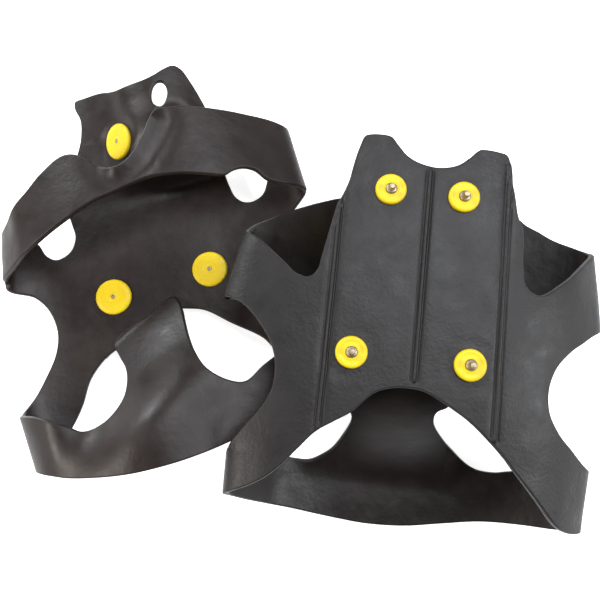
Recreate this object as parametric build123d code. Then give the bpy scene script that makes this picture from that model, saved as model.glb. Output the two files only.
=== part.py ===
from build123d import *
import math
import os

# A pair of moulded rubber slip-on ice cleats for the forefoot of a shoe.
# The left cleat lies sole down on its spike tips. The right cleat lies sole
# up on its two straps, with its left side over the right side of the left
# cleat. Each cleat is modelled in its own plan frame: x across the foot,
# y towards the heel, origin midway between the two front studs.
# World frame: +Z up, floor at z = 0, origin under the middle of the pair.

# ---------------------------------------------------------------- dimensions
SHEET_T = 2.6            # thickness of the rubber web
STRAP_END_X = 60.0       # where a strap hands over to the arm or wing
STRAP_GAP = 0.7          # clearance between a strap zone and the sole zone
TAB_SPLIT_Y = 43.0       # where the pull tab starts to bend
TAB_GAP = 2.4            # clearance left for the bending zone of the pull tab

STUD_FRONT_X = 22.9      # half spacing of the front studs
STUD_REAR_X = 14.7       # half spacing of the rear studs
STUD_REAR_Y = 66.5       # distance of the rear studs behind the front pair
STUD_REAR_MID = 1.3      # sideways offset of the rear pair

OUTER_DISC_D = 12.6      # plastic washer on the sole side
OUTER_DISC_H = 1.8
INNER_DISC_D = 16.4      # plastic flange on the foot side
INNER_DISC_H = 1.7
SHANK_D = 7.0            # plastic shank through the rubber
SPIKE_HEAD_D = 4.5       # steel collar at the root of the spike
SPIKE_TIP_D = 2.4
SPIKE_PIN_D = 2.0        # steel pin whose end shows on the foot side
SPIKE_OUT = 3.5          # how far the spike stands out of the washer

RIB_W = 3.2              # moulded ribs on the sole side
RIB_H = 1.1

LEFT_ORIGIN = (-63.7, 44.3)
LEFT_TURN = 16.5
RIGHT_ORIGIN = (42.5, 8.1)
RIGHT_TURN = -6.3
SHIFT = (7.13, -40.42)      # puts the middle of the pair over the origin

# heights of the middle of the rubber sheet above the floor
L_SOLE_Z = 5.3 + SHEET_T / 2
R_SOLE_Z = 46.5 - SHEET_T / 2

# cross sections of the rubber, as (x, z) points of the middle of the sheet
L_XL, L_XR = -70.0, 75.0
L_SOLE = [(-70.0, 18.0), (-69.0, 15.3), (-65.5, 12.4), (-58.0, 9.6), (-48.0, 7.5),
          (-36.0, 6.6), (-24.0, 6.6), (-12.0, 6.6), (0.0, 6.6), (12.0, 6.6), (24.0, 6.6), (36.0, 6.6), (50.0, 7.4), (62.0, 9.2),
          (70.0, 11.5), (74.0, 14.2), (75.0, 16.5)]
L_RET_LEFT = [(-70.0, 18.0), (-69.0, 20.8), (-65.5, 24.0), (-60.0, 27.2)]
L_RET_RIGHT_REAR = [(75.0, 16.5), (73.8, 19.0), (69.0, 22.4), (60.0, 26.8)]
L_RET_RIGHT_FRONT = [(75.0, 16.5), (73.8, 18.2), (69.0, 19.4), (60.0, 20.6)]
L_REAR_TOP = [(-60.0, 27.2), (-50.0, 31.6), (-36.0, 36.0), (-20.0, 38.8), (0.0, 39.7),
              (20.0, 38.8), (36.0, 36.0), (50.0, 31.4), (60.0, 26.8)]
L_TOE_TOP = [(-60.0, 27.2), (-50.0, 31.6), (-36.0, 36.2), (-22.0, 38.6), (-10.0, 38.0),
             (0.0, 35.2), (11.0, 30.4), (22.0, 26.8), (34.0, 24.4), (46.0, 22.6), (60.0, 20.6)]

R_XL, R_XR = -74.0, 83.0
R_SOLE = [(-74.0, 35.5), (-73.0, 37.9), (-69.0, 40.2), (-60.0, 42.4), (-48.0, 44.2),
          (-34.0, 45.2), (-24.0, 45.2), (-12.0, 45.2), (0.0, 45.2), (12.0, 45.2), (24.0, 45.2), (34.0, 45.1),
          (48.0, 43.2), (62.0, 38.4),
          (74.0, 32.0), (81.5, 26.6), (83.0, 23.5)]
R_RET_LEFT = [(-74.0, 35.5), (-73.0, 32.6), (-68.0, 27.6), (-60.0, 21.8)]
R_RET_RIGHT = [(83.0, 23.5), (81.0, 20.4), (74.0, 16.6), (60.0, 11.4)]
R_STRAP = [(-60.0, 21.8), (-50.0, 15.6), (-38.0, 9.6), (-25.0, 4.8), (-12.0, 2.15),
           (0.0, 1.36), (16.0, 1.75), (32.0, 3.8), (47.0, 7.4), (60.0, 11.4)]

# plan outline of the sole, right-hand half, from the tab split round to the arch
HALF_SOLE = [(39.5, 43.0), (40.2, 36.5), (42.0, 31.0), (45.5, 28.3), (50.0, 29.4), (56.0, 34.4),
             (64.0, 42.0), (90.0, 52.0), (90.0, 18.0), (70.0, 15.4), (62.0, 10.5), (56.5, 3.5),
             (53.6, -4.5), (53.6, -12.0), (56.5, -21.0), (61.5, -28.6), (67.5, -35.4),
             (76.0, -40.5), (90.0, -42.5), (90.0, -64.5), (74.0, -64.5), (66.0, -61.0), (58.0, -55.8),
             (51.0, -50.2), (45.0, -44.2), (39.5, -37.4), (33.0, -30.6), (26.0, -25.0),
             (19.0, -20.0), (13.0, -15.7), (7.0, -12.7), (0.0, -11.5)]

L_REAR_STRAP_PLAN = [(-60.0, 48.0), (-45.0, 49.5), (-31.0, 52.0), (-21.0, 56.0), (-11.0, 60.5),
                     (0.0, 64.0), (10.0, 66.0), (21.0, 66.5), (32.0, 65.2), (42.0, 62.8),
                     (52.0, 59.4), (60.0, 55.5), (60.0, 24.4), (52.0, 27.4), (43.0, 30.5),
                     (28.0, 34.7), (12.0, 37.0), (-4.0, 35.0), (-23.0, 30.2), (-44.0, 23.8),
                     (-60.0, 19.0)]
L_TOE_STRAP_PLAN = [(-60.0, -42.0), (-53.0, -47.6), (-47.0, -52.6), (-41.0, -55.4), (-35.0, -55.8), (-27.0, -53.2),
                    (-20.6, -48.2), (-17.1, -41.1), (-16.0, -34.0), (-13.6, -27.0), (-10.0, -20.0),
                    (-5.0, -13.4), (0.5, -10.2), (5.5, -10.2), (9.4, -13.0), (11.3, -19.0), (11.0, -28.0),
                    (11.3, -36.9), (14.3, -45.6), (20.0, -51.4), (27.5, -54.0), (36.0, -51.4), (46.0, -46.0),
                    (60.0, -40.0),
                    (60.0, -65.6), (45.0, -70.6), (28.0, -74.6), (10.0, -76.6), (-7.0, -77.0),
                    (-24.0, -76.0), (-44.0, -72.0), (-60.0, -66.6)]
# the left wing of the right cleat is held a little narrower where it lies over the other strap
R_LEFT_WING = [(-61.5, -29.6), (-66.0, -38.0), (-70.5, -44.6), (-90.0, -47.0), (-90.0, -64.5)]
R_REAR_STRAP_PLAN = [(-60.0, 50.0), (-46.0, 57.0), (-30.0, 62.5), (-14.0, 65.5), (0.0, 66.5),
                     (16.0, 66.5), (34.0, 64.5), (50.0, 60.5), (60.0, 56.0), (60.0, 20.0), (46.0, 24.5),
                     (30.0, 29.5), (14.0, 33.0), (0.0, 34.0), (-14.0, 33.0), (-30.0, 29.0),
                     (-46.0, 24.0), (-60.0, 19.5)]
R_TOE_STRAP_PLAN = [(-60.0, -46.0), (-50.0, -46.4), (-41.0, -47.4), (-33.0, -46.9), (-26.0, -43.0),
                    (-20.5, -37.0), (-16.5, -30.0), (-14.0, -22.5), (-8.5, -16.0), (0.0, -12.0),
                    (9.0, -11.5), (17.5, -14.5), (22.0, -20.0), (24.5, -28.5), (31.0, -36.8), (39.8, -42.6),
                    (49.0, -43.2), (60.0, -41.0), (60.0, -61.8), (43.4, -64.7), (27.8, -68.3), (11.5, -71.2),
                    (-5.3, -72.2), (-28.4, -69.6), (-45.0, -66.4), (-60.0, -63.4)]

L_TAB_PLAN = [(-37.0, 45.4), (-34.0, 56.0), (-26.0, 66.0), (-18.8, 75.0), (-16.4, 84.0), (-16.8, 92.6),
              (-5.0, 94.2), (5.0, 92.2), (17.0, 94.6), (27.0, 96.4), (33.0, 96.4), (36.4, 92.0),
              (38.4, 85.0), (40.0, 74.0), (40.0, 60.0), (39.0, 45.4)]
R_TAB_PLAN = [(-37.6, 45.4), (-34.2, 58.6), (-32.4, 62.7), (-30.2, 69.0), (-28.0, 80.0), (-26.4, 87.6),
              (-24.6, 88.9), (-16.4, 89.4), (-12.3, 86.1), (-7.4, 81.6), (-2.0, 79.0), (4.6, 78.0),
              (12.5, 79.5), (17.1, 83.2), (21.3, 87.1), (30.8, 86.6), (33.4, 83.6), (36.0, 71.2),
              (38.3, 60.3), (40.6, 54.0), (41.2, 45.4)]
# sections of the left pull tab: distance back, then (x, z) of the middle of the sheet
TAB_X = [-42.0, -24.0, -12.0, 0.0, 10.0, 20.0, 30.0, 44.0]
TAB_SECTIONS = [(45.0, [6.6] * 8),
                (54.0, [6.8, 7.0, 8.2, 10.6, 13.6, 15.6, 15.2, 12.6]),
                (66.0, [7.0, 7.6, 9.8, 16.4, 24.0, 26.6, 25.0, 19.0]),
                (98.0, [7.2, 9.2, 12.4, 19.4, 26.6, 29.0, 27.4, 22.0])]
L_REAR_LEFT_STUD = (0.2, 64.2, 16.3, -36.0)     # x, y, z of mid sheet, roll
L_REAR_RIGHT_STUD = (27.5, 65.0, 24.9, 0.0)

PARTS = {}


def smooth(points, per=3, closed=True):
    """Catmull-Rom points through a list of plan points."""
    out = []
    n = len(points)
    for i in range(n if closed else n - 1):
        p0 = points[(i - 1) % n] if closed or i > 0 else points[i]
        p1 = points[i]
        p2 = points[(i + 1) % n]
        p3 = points[(i + 2) % n] if closed or i + 2 < n else p2
        steps = max(1, min(per, int(math.dist(p1, p2) / 2.2)))
        if abs(p1[0]) >= 59.9 and abs(p2[0]) >= 59.9:
            steps = 1
        for k in range(steps):
            t = k / steps
            out.append(tuple(0.5 * ((2 * b) + (-a + c) * t + (2 * a - 5 * b + 4 * c - d) * t * t
                                    + (-a + 3 * b - 3 * c + d) * t ** 3)
                             for a, b, c, d in zip(p0, p1, p2, p3)))
    if not closed:
        out.append(points[-1])
    return out


def prism(points, z0=-30.0, z1=90.0):
    """A vertical prism over a closed plan outline."""
    face = make_face(Plane.XY.offset(z0) * Polyline(*points, close=True))
    return extrude(face, amount=z1 - z0, dir=(0, 0, 1))


def strip(mid, t, y0, y1):
    """A rubber strip of thickness t whose cross section follows mid, run along y."""
    up, dn = [], []
    n = len(mid)
    for i, (x, z) in enumerate(mid):
        a, b = mid[max(i - 1, 0)], mid[min(i + 1, n - 1)]
        tx, tz = b[0] - a[0], b[1] - a[1]
        if i in (0, n - 1):
            # the ends stand square: upright cut at a strap end, level cut at a fold
            if abs(abs(x) - STRAP_END_X) < 1.5:
                tx, tz = (1.0 if tx > 0 else -1.0), tz / max(abs(tx), 1e-6)
            else:
                tx, tz = 0.0, (1.0 if tz > 0 else -1.0)
        length = math.hypot(tx, tz)
        nx, nz = -tz / length, tx / length
        up.append((x + nx * t / 2, 0, z + nz * t / 2))
        dn.append((x - nx * t / 2, 0, z - nz * t / 2))
    wire = Wire([Spline(*up).edge(), Line(up[-1], dn[-1]).edge(),
                 Spline(*reversed(dn)).edge(), Line(dn[0], up[0]).edge()])
    solid = extrude(Face(wire), amount=y1 - y0, dir=(0, 1, 0))
    return Pos(0, y0, 0) * solid


def mirrored(half):
    """Close a right-hand half outline with its mirror image."""
    return half + [(-x, y) for x, y in reversed(half[:-1])]


def clip(solid, outline):
    return solid & prism(outline)


def band(y0, y1, x0, x1):
    return prism([(x0, y0), (x1, y0), (x1, y1), (x0, y1)])


def single(shape):
    solids = sorted(shape.solids(), key=lambda s: s.volume)
    return solids[-1]


def stud(z_out, z_in):
    """One stud about the z axis, sole side down: spike, washer, flange with shank."""
    w0 = z_out - OUTER_DISC_H
    f1 = z_in + INNER_DISC_H
    r_o, r_i = OUTER_DISC_D / 2, INNER_DISC_D / 2
    washer = revolve(make_face(Plane.XZ * Polyline(
        (SPIKE_HEAD_D / 2, w0 + 0.15), (SPIKE_HEAD_D / 2 + 0.5, w0), (r_o - 0.9, w0), (r_o - 0.25, w0 + 0.35),
        (r_o, w0 + 1.0), (r_o, z_out), (SHANK_D / 2 - 0.8, z_out), (SHANK_D / 2 - 0.8, z_out - 0.6),
        (SPIKE_HEAD_D / 2, z_out - 0.6), close=True)), Axis.Z)
    flange = revolve(make_face(Plane.XZ * Polyline(
        (SPIKE_PIN_D / 2, z_out - 0.6), (SHANK_D / 2 - 0.8, z_out - 0.6), (SHANK_D / 2 - 0.8, z_out),
        (SHANK_D / 2, z_out), (SHANK_D / 2, z_in), (r_i, z_in), (r_i, z_in + 0.7), (r_i - 0.5, z_in + 1.25),
        (r_i - 1.6, f1 - 0.1), (r_i - 3.2, f1), (SPIKE_PIN_D / 2, f1), close=True)), Axis.Z)
    spike = revolve(make_face(Plane.XZ * Polyline(
        (0, w0 - SPIKE_OUT), (SPIKE_TIP_D / 2 - 0.3, w0 - SPIKE_OUT), (SPIKE_TIP_D / 2, w0 - SPIKE_OUT + 0.3),
        (SPIKE_TIP_D / 2 + 0.1, w0 - 1.3), (SPIKE_HEAD_D / 2 - 0.4, w0 - 0.9), (SPIKE_HEAD_D / 2, w0 - 0.4),
        (SPIKE_HEAD_D / 2, z_out - 0.6), (SPIKE_PIN_D / 2, z_out - 0.6), (SPIKE_PIN_D / 2, f1 - 0.15),
        (0, f1 - 0.15), close=True)), Axis.Z)
    return spike, washer, flange


def place_left(shape):
    return Pos(LEFT_ORIGIN[0] + SHIFT[0] + 0, LEFT_ORIGIN[1] + SHIFT[1], 0) * Rot(0, 0, LEFT_TURN) * shape


def place_right(shape):
    return Pos(RIGHT_ORIGIN[0] + SHIFT[0], RIGHT_ORIGIN[1] + SHIFT[1], 0) * Rot(0, 0, RIGHT_TURN) * shape


def sole_web(sole, ret_left, ret_right_rear, ret_right_front, xl, xr, rib_side, plan, left_wing_y=-42.0):
    """Pad, arms and wings, with the returns over the folds, as one moulding."""
    body = clip(strip(sole, SHEET_T, -70, 60), plan)
    body = body & band(-90, TAB_SPLIT_Y, -100, 100)
    # arms reach a little behind the tab split, so they are added back
    arms = clip(strip(sole, SHEET_T, -70, 60), plan)
    body = body + (arms & band(20, 60, xl - 6, -44)) + (arms & band(20, 60, 44, xr + 6))
    for ret, x0, x1, y0, y1 in (
            (ret_left, xl - 6, -STRAP_END_X, 18.0, 50.0), (ret_left, xl - 6, -STRAP_END_X, -64.5, left_wing_y),
            (ret_right_rear, STRAP_END_X, xr + 6, 18.0, 52.0), (ret_right_front, STRAP_END_X, xr + 6, -64.5, -42.0)):
        body = body + (strip(ret, SHEET_T, -70, 60) & band(y0, y1, x0, x1))
    z0 = sole[8][1] + rib_side * SHEET_T / 2
    lo, hi = (z0 - RIB_H, z0 + 0.4) if rib_side < 0 else (z0 - 0.4, z0 + RIB_H)
    for x, ya, yb in ((-33.0, -29.0, TAB_SPLIT_Y), (1.5, -8.0, TAB_SPLIT_Y), (33.2, -29.0, TAB_SPLIT_Y)):
        body = body + (Pos(x, (ya + yb) / 2, (lo + hi) / 2) * Box(RIB_W, yb - ya, hi - lo))
    return single(body)


def strap(top, plan):
    return single(clip(strip(top, SHEET_T, -90, 80), smooth(plan))
                  & band(-100, 100, -STRAP_END_X + STRAP_GAP, STRAP_END_X - STRAP_GAP))


os.makedirs("parts", exist_ok=True)

sole_plan = smooth(mirrored(HALF_SOLE))

# ---------------------------------------------------------------- left cleat
web = sole_web(L_SOLE, L_RET_LEFT, L_RET_RIGHT_REAR, L_RET_RIGHT_FRONT, L_XL, L_XR, -1, sole_plan)

sections = []
for y, zs in TAB_SECTIONS:
    pts_up = [(x, y, z + SHEET_T / 2) for x, z in zip(TAB_X, zs)]
    pts_dn = [(x, y, z - SHEET_T / 2) for x, z in zip(TAB_X, zs)]
    sections.append(Wire([Spline(*pts_up).edge(), Line(pts_up[-1], pts_dn[-1]).edge(),
                          Spline(*reversed(pts_dn)).edge(), Line(pts_dn[0], pts_up[0]).edge()]))
tab = single(Solid.make_loft(sections, True) & prism(smooth(L_TAB_PLAN, 2)))
tab = tab - Pos(23.0, 86.0, 20) * Cylinder(3.4, 60)

left = {"left_rear_strap": strap(L_REAR_TOP, L_REAR_STRAP_PLAN),
        "left_toe_strap": strap(L_TOE_TOP, L_TOE_STRAP_PLAN)}
z_out, z_in = -SHEET_T / 2, SHEET_T / 2
left_studs = [("front_left", (-STUD_FRONT_X, 0, L_SOLE_Z - 0.0, 0)), ("front_right", (STUD_FRONT_X, 0, L_SOLE_Z, 0)),
              ("rear_left", L_REAR_LEFT_STUD), ("rear_right", L_REAR_RIGHT_STUD)]
for name, (x, y, z, roll) in left_studs:
    loc = Pos(x, y, z) * Rot(0, roll, 0)
    spike, washer, flange = [loc * s for s in stud(z_out, z_in)]
    # the rubber is bored for the shank and lies clear of the two discs
    bore = loc * Cylinder(SHANK_D / 2 + 0.02, 4 * SHEET_T)
    seat = loc * (Pos(0, 0, z_in + 3) * Cylinder(INNER_DISC_D / 2 + 0.1, 6)
                  + Pos(0, 0, z_out - 3) * Cylinder(OUTER_DISC_D / 2 + 0.1, 6))
    if name.startswith("front"):
        web = web - bore - seat
    else:
        tab = tab - bore - seat
    left[f"left_{name}_spike"] = spike
    left[f"left_{name}_outer_disc"] = washer
    left[f"left_{name}_inner_disc"] = flange
left["left_sole_web"] = single(web)
left["left_pull_tab"] = single(tab)
for name, shape in left.items():
    PARTS[name] = place_left(shape)

# ---------------------------------------------------------------- right cleat
outline = mirrored(HALF_SOLE)
start = outline.index((-61.5, -28.6))
end = outline.index((-90.0, -64.5))
outline[min(start, end):max(start, end) + 1] = list(reversed(R_LEFT_WING))
web = sole_web(R_SOLE, R_RET_LEFT, R_RET_RIGHT, R_RET_RIGHT, R_XL, R_XR, 1, smooth(outline), -47.0)
tab = single(strip([(-60.0, 45.2), (-34.0, 45.2), (0.0, 45.2), (34.0, 45.2), (60.0, 45.2)], SHEET_T, 44, 92)
             & prism(smooth(R_TAB_PLAN, 2)))
for x in (-29.0, 2.6, 34.0):
    y1 = 72.5 if abs(x) < 10 else (80.0 if x < 0 else 83.0)
    tab = tab + ((Pos(x, (TAB_SPLIT_Y + TAB_GAP + y1) / 2, R_SOLE_Z + SHEET_T / 2 + RIB_H / 2 - 0.2)
                  * Box(RIB_W, y1 - TAB_SPLIT_Y - TAB_GAP, RIB_H + 0.4)) & prism(smooth(R_TAB_PLAN, 2)))
right = {"right_rear_strap": strap(R_STRAP, R_REAR_STRAP_PLAN),
         "right_toe_strap": strap(R_STRAP, R_TOE_STRAP_PLAN)}
right_studs = [("front_left", (-STUD_FRONT_X, 0)), ("front_right", (STUD_FRONT_X, 0)),
               ("rear_left", (STUD_REAR_MID - STUD_REAR_X, STUD_REAR_Y)),
               ("rear_right", (STUD_REAR_MID + STUD_REAR_X, STUD_REAR_Y))]
for name, (x, y) in right_studs:
    loc = Pos(x, y, R_SOLE_Z) * Rot(0, 180, 0)
    spike, washer, flange = [loc * s for s in stud(z_out, z_in)]
    bore = loc * Cylinder(SHANK_D / 2 + 0.02, 4 * SHEET_T)
    seat = loc * (Pos(0, 0, z_in + 3) * Cylinder(INNER_DISC_D / 2 + 0.1, 6)
                  + Pos(0, 0, z_out - 3) * Cylinder(OUTER_DISC_D / 2 + 0.1, 6))
    if name.startswith("front"):
        web = web - bore - seat
    else:
        tab = tab - bore - seat
    right[f"right_{name}_spike"] = spike
    right[f"right_{name}_outer_disc"] = washer
    right[f"right_{name}_inner_disc"] = flange
right["right_sole_web"] = single(web)
right["right_pull_tab"] = single(tab)
for name, shape in right.items():
    PARTS[name] = place_right(shape)

low = [min(s.bounding_box().min.X for s in PARTS.values()), min(s.bounding_box().min.Y for s in PARTS.values()),
       min(s.bounding_box().min.Z for s in PARTS.values())]
high = [max(s.bounding_box().max.X for s in PARTS.values()), max(s.bounding_box().max.Y for s in PARTS.values()),
        max(s.bounding_box().max.Z for s in PARTS.values())]
print("box", [round(v, 2) for v in low], [round(v, 2) for v in high],
      "centre", [round((a + b) / 2, 2) for a, b in zip(low, high)])
for name, shape in PARTS.items():
    export_step(shape, f"parts/{name}.step")
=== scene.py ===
import math
import bpy
import numpy as np
from mathutils import Matrix, Vector
from mathutils.geometry import delaunay_2d_cdt


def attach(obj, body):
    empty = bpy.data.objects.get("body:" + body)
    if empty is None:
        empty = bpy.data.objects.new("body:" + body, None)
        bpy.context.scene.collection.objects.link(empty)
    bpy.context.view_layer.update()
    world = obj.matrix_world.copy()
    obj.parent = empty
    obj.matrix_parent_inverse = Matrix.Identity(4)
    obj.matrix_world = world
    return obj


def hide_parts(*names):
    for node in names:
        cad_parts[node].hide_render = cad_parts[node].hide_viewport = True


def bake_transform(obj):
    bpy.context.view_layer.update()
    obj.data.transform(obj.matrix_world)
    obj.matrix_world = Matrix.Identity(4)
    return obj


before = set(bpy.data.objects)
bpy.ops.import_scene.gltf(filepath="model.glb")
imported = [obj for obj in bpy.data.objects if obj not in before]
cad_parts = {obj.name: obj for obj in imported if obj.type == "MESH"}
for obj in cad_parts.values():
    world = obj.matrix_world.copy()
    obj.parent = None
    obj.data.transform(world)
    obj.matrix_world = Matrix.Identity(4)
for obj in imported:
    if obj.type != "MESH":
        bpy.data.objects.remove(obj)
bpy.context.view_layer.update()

# ------------------------------------------------------------------ numbers, millimetres
SHEET_T = 2.6
SHIFT = (7.13, -40.42)
STUD_X, REAR_X, REAR_Y, REAR_MID = 22.9, 14.7, 66.5, 1.3
FAR = 999.0          # stands for "as far as the fold"


class Cleat:
    pass


L = Cleat()
L.name, L.origin, L.turn = "left", (-63.7, 44.3), 16.5
L.sole = [(-70, 18), (-69, 15.3), (-65.5, 12.4), (-58, 9.6), (-48, 7.5), (-36, 6.7), (-24, 6.6), (-12, 6.6),
          (0, 6.6), (12, 6.6), (24, 6.6), (36, 6.7), (50, 7.4), (62, 9.2), (70, 11.5), (74, 14.2), (75, 16.5)]
L.rear = [(73.8, 19), (69, 22.4), (60, 26.8), (50, 31.4), (36, 36), (20, 38.8), (0, 39.7), (-20, 38.8), (-36, 36),
          (-50, 31.6), (-60, 27.2), (-65.5, 24), (-69, 20.8)]
L.toe = [(73.8, 18.2), (69, 19.4), (60, 20.6), (46, 22.6), (34, 24.4), (22, 26.8), (11, 30.4), (0, 35.2), (-10, 38),
         (-22, 38.6), (-36, 36.2), (-50, 31.6), (-60, 27.2), (-65.5, 24), (-69, 20.8)]
L.folds = (-70.0, 75.0)
L.fold_left = [(-66, -68.0), (-42, -69.8), (0, -69), (16, -64.6), (22, -63.2), (28, -62.3), (37, -60.4), (50, -58.5)]
L.fold_right = [(-66, 75.0), (50, 75.0)]
L.rib_side = -1
L.ribs = [(-33.0, -30.0, 66.0), (1.5, -10.0, 74.0), (33.2, -28.0, 80.0)]
L.split = 44.0

R = Cleat()
R.name, R.origin, R.turn = "right", (42.5, 8.1), -6.3
R.sole = [(-74, 35.5), (-73, 37.9), (-69, 40.2), (-60, 42.4), (-48, 44.2), (-34, 45.1), (-24, 45.2), (-12, 45.2),
          (0, 45.2), (12, 45.2), (24, 45.2), (34, 45.1), (48, 43.2), (62, 38.4), (74, 32), (81.5, 26.6), (83, 23.5)]
R.rear = [(81, 20.4), (74, 16.6), (60, 11.4), (47, 7.4), (32, 3.8), (16, 1.9), (0, 1.5), (-12, 2.3),
          (-25, 4.8), (-38, 9.6), (-50, 15.6), (-60, 21.8), (-68, 27.6), (-73, 32.6)]
R.toe = R.rear
R.folds = (-74.0, 83.0)
R.fold_left = [(-66, -65.5), (-42, -66.3), (-20, -72), (16, -75.4), (26, -73.5), (38, -71.6), (48, -69.2)]
R.fold_right = [(-62, 77.5), (-54, 78.2), (-36, 80.2), (0, 82.5), (23, 82.8), (36, 81.4), (46, 80.0), (57, 78.6)]
R.rib_side = 1
R.ribs = [(-33.0, -30.4, 66.0), (2.0, -8.6, 77.0), (34.0, -28.0, 83.0)]
R.split = 44.0

# outlines as (x, y), FAR at a fold; both loops run counter-clockwise seen in plan
R.sole_plan = [(FAR, 55.5), (75.7, 52.0), (69.5, 46.1), (63.2, 40.1), (57.5, 35.6), (53.7, 32.7), (48.9, 30.5), (45.4, 31.7),
               (42.9, 34.6), (42.0, 40), (41.5, 46), (40.9, 56.1), (38.8, 60.9), (36.6, 71.7), (35.2, 77.9), (34.1, 83.6),
               (32.6, 86.6), (29.5, 87.4), (24.5, 87.9), (21.4, 87.6), (17.6, 83.9), (12.8, 80.1), (5.6, 78.3),
               (-1.8, 79.2), (-7.3, 81.7), (-12.0, 86.4), (-14.6, 89.3), (-17.5, 89.9), (-23.0, 89.6), (-25.8, 88.5),
               (-27.2, 84.6), (-28.3, 80.5), (-29.3, 75.3), (-30.3, 69.2), (-32.3, 63.1), (-34.2, 58.6), (-36.2, 48.2),
               (-38.2, 36.9), (-39.4, 31.0), (-42.2, 28.1), (-47.1, 28.9), (-52.9, 33.5), (-61.8, 40.6), (-68.4, 45.0),
               (-FAR, 46.5), (-FAR, 17.6), (-72.2, 16.9), (-67.7, 15.0), (-63.2, 11.5), (-58.6, 6.4), (-54.7, 1.0), (-52.3, -4.8), (-51.4, -10.7),
               (-51.8, -17), (-54.8, -24), (-60.5, -32), (-64.6, -37.8), (-FAR, -43.0), (-FAR, -60.0),
               (-62.8, -57.6), (-50.8, -50.5), (-45.3, -45.4), (-39.6, -38.6), (-33.4, -31.4), (-26.5, -26.6), (-20.5, -22.6),
               (-16.6, -18.4), (-12.6, -14.6), (-7.1, -12.3), (-0.4, -11.4), (6.4, -12.0), (13.0, -14.9), (18.2, -17.7),
               (23.6, -20.9), (28.8, -24.9), (38.7, -33.9), (42.5, -38.1), (51.7, -47.4), (61.2, -57.0), (68.5, -60.4),
               (FAR, -61.5), (FAR, -36.6), (77.6, -35.2), (72.6, -31.8), (68.1, -28.1), (62.6, -23.8), (59.1, -19.8),
               (56.6, -15.6), (55.6, -11.3), (55.8, -5.1), (58.8, 2.7), (65.6, 10.1), (71.8, 14.4), (77.7, 18.4), (FAR, 21.5)]
R.rear_plan = [(FAR, 21.5), (FAR, 55.5), (74.6, 58.2), (65.7, 62.6), (60.8, 66.0), (55.4, 69.4), (51.9, 72.6), (40, 76.5),
               (20, 78.4), (0, 78.5), (-20, 77), (-33, 73.6), (-37.5, 71.5), (-45.6, 67.2), (-58.2, 58.2), (-68.0, 49.6),
               (-FAR, 46.5), (-FAR, 16.5), (-60, 20.5), (-46, 25), (-30, 30), (-14, 33.5), (0, 34.5), (14, 34), (30, 31.8), (46, 29.6),
               (60, 26.4), (74, 22.6)]
R.toe_plan = [(FAR, -61.5), (FAR, -36.6), (70, -38.6), (60, -40.6), (52.0, -42.4), (48.5, -43.3), (40.0, -42.9), (28.8, -36.0), (17.9, -26.2),
              (15.9, -22.8), (16.2, -19.6), (20.5, -17.2), (23.0, -13.0), (17.0, -8.6), (6.0, -7.4), (-8.0, -7.8), (-20.0, -11.0), (-24.6, -15.5), (-24.0, -20.0), (-19.6, -22.4), (-17.8, -25.4), (-18.8, -30.4),
              (-23.7, -40.0), (-28.1, -43.8), (-33.2, -46.4), (-38.2, -46.6), (-47, -45.4), (-58, -43.6), (-FAR, -43.0),
              (-FAR, -60.0), (-58.7, -63.0), (-50.8, -65.4), (-39.6, -67.6), (-28.5, -69.7), (-17.1, -71.4), (-5.3, -72.4), (11.5, -71.6),
              (27.8, -68.5), (43.7, -65.2), (58.5, -63.6), (70.6, -62.7)]

L.sole_plan = [(FAR, 51), (69, 46.5), (64, 40), (60.2, 33), (56.4, 27.6), (51, 25.9), (46.6, 27.1), (43.5, 30.8), (42.4, 36.0),
               (41.8, 45), (42.2, 56), (42.2, 68), (40.6, 76), (38.6, 83), (36.2, 89.0), (33.2, 91.2), (28.8, 90.2), (24.0, 88.2), (19.6, 87.2),
               (13.0, 87.4), (6.4, 88.7), (-4.1, 93.9), (-12, 96.0), (-17.2, 96.3), (-18.3, 93.2), (-17.1, 86.5), (-19.7, 77.4), (-26, 67),
               (-32.0, 56), (-34.4, 47), (-34.0, 39.0), (-33.8, 33.0), (-37.2, 27.0), (-44.0, 24.6), (-48.8, 28.1), (-50.6, 33.5),
               (-54, 36.6), (-FAR, 38.2), (-FAR, 17.4), (-64.8, 14.2), (-56.8, 9.0), (-52.6, 1.8), (-51.4, -8.0), (-54.0, -17.6),
               (-60.7, -28.3), (-66.0, -35.4), (-FAR, -41.0), (-FAR, -65.5), (-62, -60), (-53.4, -50.9), (-48.1, -43.9),
               (-42.2, -33.7), (-35.2, -27.3), (-28.7, -24.0), (-20, -20.6), (-12, -16.6), (-5, -13.6), (1, -12.8), (7.9, -14.6),
               (15.4, -17.6), (25.6, -26.8), (37.6, -37.4), (41.5, -44), (48, -50.4), (57, -57), (66, -61.6), (FAR, -64.5), (FAR, -42.5),
               (67.5, -35.4), (61.5, -28.6), (56.5, -21), (53.6, -12), (53.6, -4.5), (56.5, 3.5), (62, 10.5), (69, 16.0), (FAR, 20.8)]
L.rear_plan = [(FAR, 20.8), (FAR, 51), (67.8, 55.2), (56.2, 58.9), (42.3, 63.1), (32.4, 65.7), (25, 66.8), (21.3, 66.0),
               (18.4, 62.4), (14.0, 56.2), (8.6, 50.0), (3.4, 46.4), (-1.5, 45.6), (-6.9, 48.4), (-11.4, 52.7), (-16.1, 56.4),
               (-21.5, 57.2), (-31.9, 52.8), (-42.3, 46.6), (-52.9, 40.6), (-FAR, 38.2), (-FAR, 17.4), (-59.5, 18.6), (-52.7, 20.8), (-44.1, 23.7),
               (-33.4, 27.2), (-23, 30.4), (-14, 33.2), (-4.4, 35.3), (4.1, 37.0), (11.8, 37.5), (20, 36.6), (27.9, 34.9), (35.7, 32.6),
               (42.0, 31.2), (46.4, 33.0), (51.2, 33.4), (55.6, 31.6), (59.0, 27.2), (62, 25.4), (68, 23.4)]
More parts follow.
